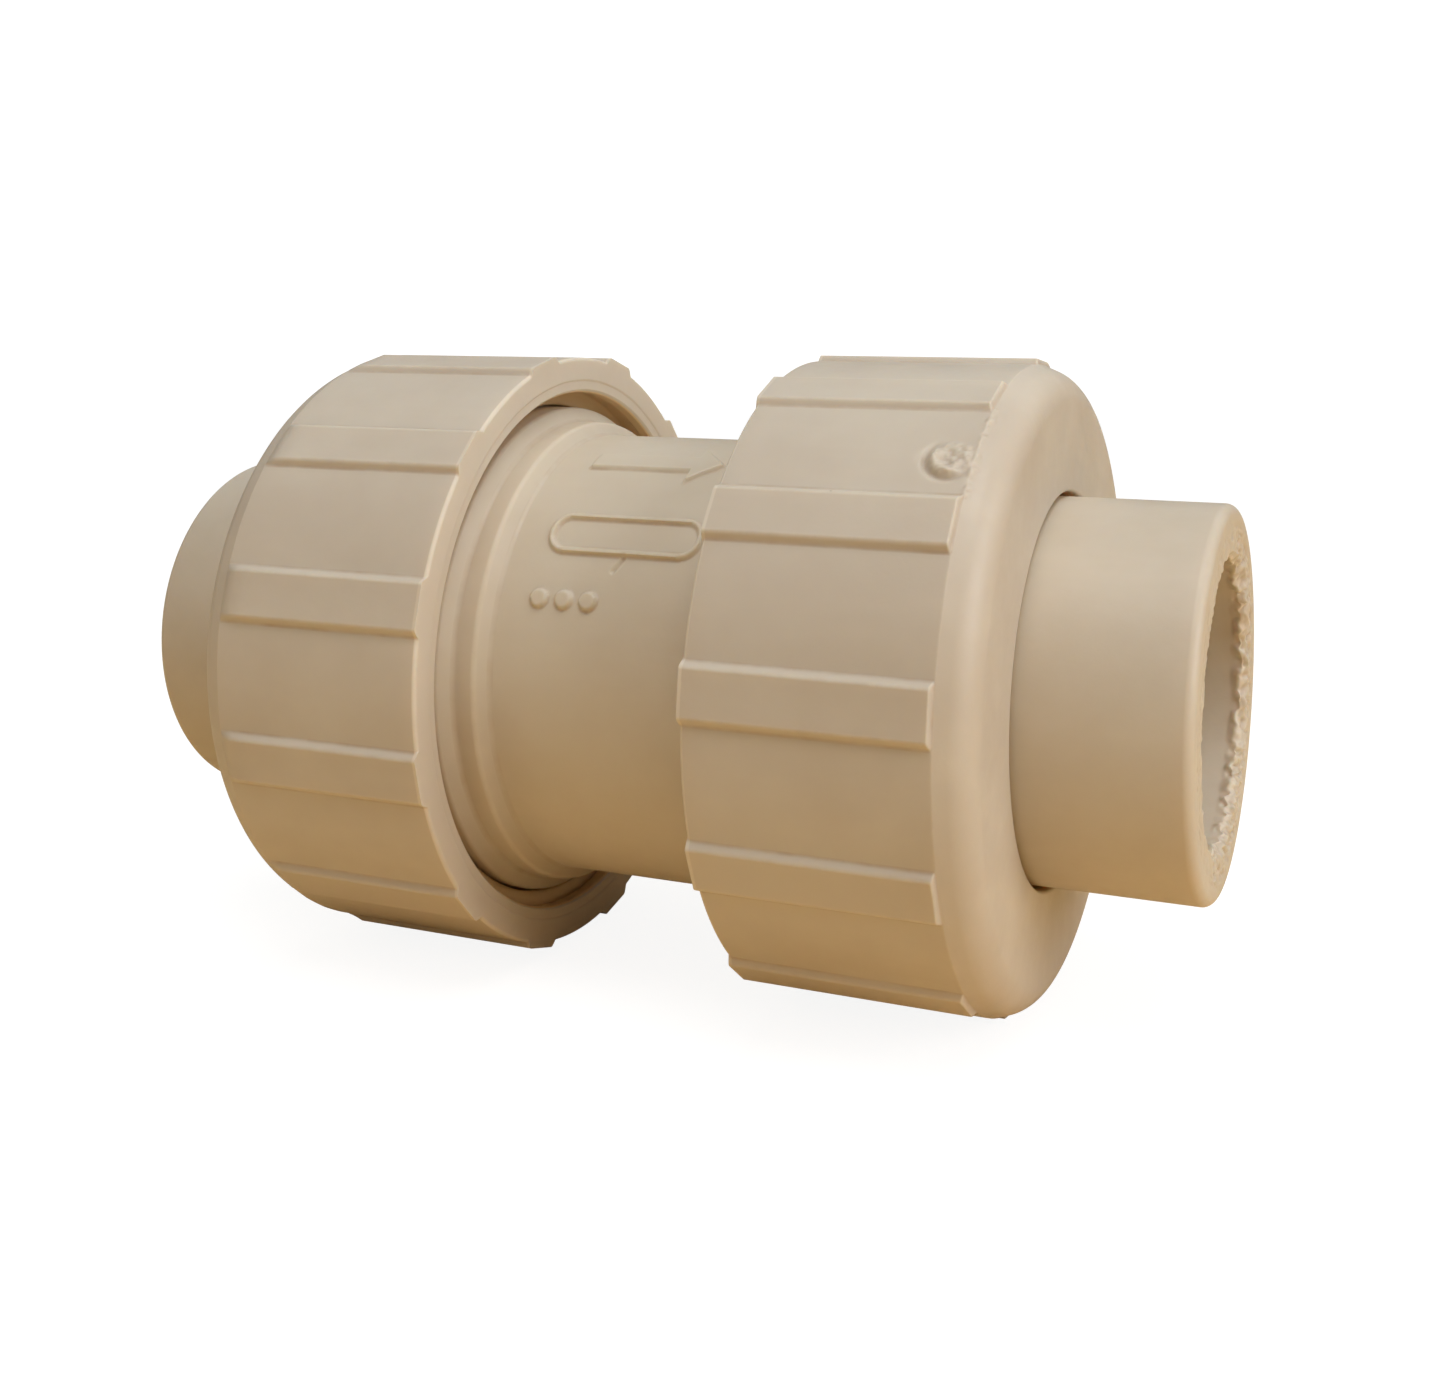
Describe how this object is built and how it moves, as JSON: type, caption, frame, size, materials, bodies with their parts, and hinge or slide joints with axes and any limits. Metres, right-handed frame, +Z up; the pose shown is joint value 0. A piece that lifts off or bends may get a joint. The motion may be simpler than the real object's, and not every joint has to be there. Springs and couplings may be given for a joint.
{
  "type": "union check valve",
  "caption": "Straight plastic pipe check valve with a hand-tightened union nut and a solvent socket on each end, and a sprung poppet inside.",
  "frame": {"origin": "centre of the whole valve, on the axis of the bore", "axes": "+X along the bore in the flow direction, from inlet to outlet; +Z up; the flow arrow is on the upper front (-Y, +Z)"},
  "size_m": [0.0882, 0.0512, 0.0512],
  "materials": {
    "cpvc": "satin moulded cream-beige plastic",
    "white_acetal": "smooth off-white moulded plastic",
    "epdm_rubber": "matt black rubber",
    "stainless_steel": "bright drawn steel"
  },
  "bodies": {
    "valve_body": {"valve_body": "cpvc", "seat_ring": "white_acetal", "seat_ring_o_ring": "epdm_rubber", "spring_guide": "white_acetal", "guide_retaining_ring": "stainless_steel", "return_spring": "stainless_steel", "inlet_face_o_ring": "epdm_rubber", "outlet_face_o_ring": "epdm_rubber"},
    "poppet": {"poppet": "white_acetal", "poppet_seal": "epdm_rubber", "seal_retainer": "stainless_steel", "retainer_screw": "stainless_steel"},
    "inlet_connector": {"inlet_end_connector": "cpvc"},
    "inlet_nut": {"inlet_union_nut": "cpvc"},
    "outlet_connector": {"outlet_end_connector": "cpvc"},
    "outlet_nut": {"outlet_union_nut": "cpvc"}
  },
  "joints": [
    {"name": "poppet_slide", "type": "slide", "parent": "valve_body", "child": "poppet", "axis": [1, 0, 0], "range_m": [0, 0.007], "stiffness_N_per_m": 80, "springref_m": -0.006, "deforming": ["return_spring"]},
    {"name": "inlet_connector_slide", "type": "slide", "parent": "valve_body", "child": "inlet_connector", "axis": [-1, 0, 0], "range_m": [0, 0.01125]},
    {"name": "inlet_nut_spin", "type": "hinge", "parent": "inlet_connector", "child": "inlet_nut", "pos_m": [-0.021, 0, 0], "axis": [-1, 0, 0], "range_deg": [0, 1350]},
    {"name": "outlet_connector_slide", "type": "slide", "parent": "valve_body", "child": "outlet_connector", "axis": [1, 0, 0], "range_m": [0, 0.01125]},
    {"name": "outlet_nut_spin", "type": "hinge", "parent": "outlet_connector", "child": "outlet_nut", "pos_m": [0.021, 0, 0], "axis": [1, 0, 0], "range_deg": [0, 1350]}
  ],
  "couplings": [
    {"joint": "inlet_nut_spin", "follows": "inlet_connector_slide", "rad_per_m": 2094.4},
    {"joint": "outlet_nut_spin", "follows": "outlet_connector_slide", "rad_per_m": 2094.4}
  ]
}
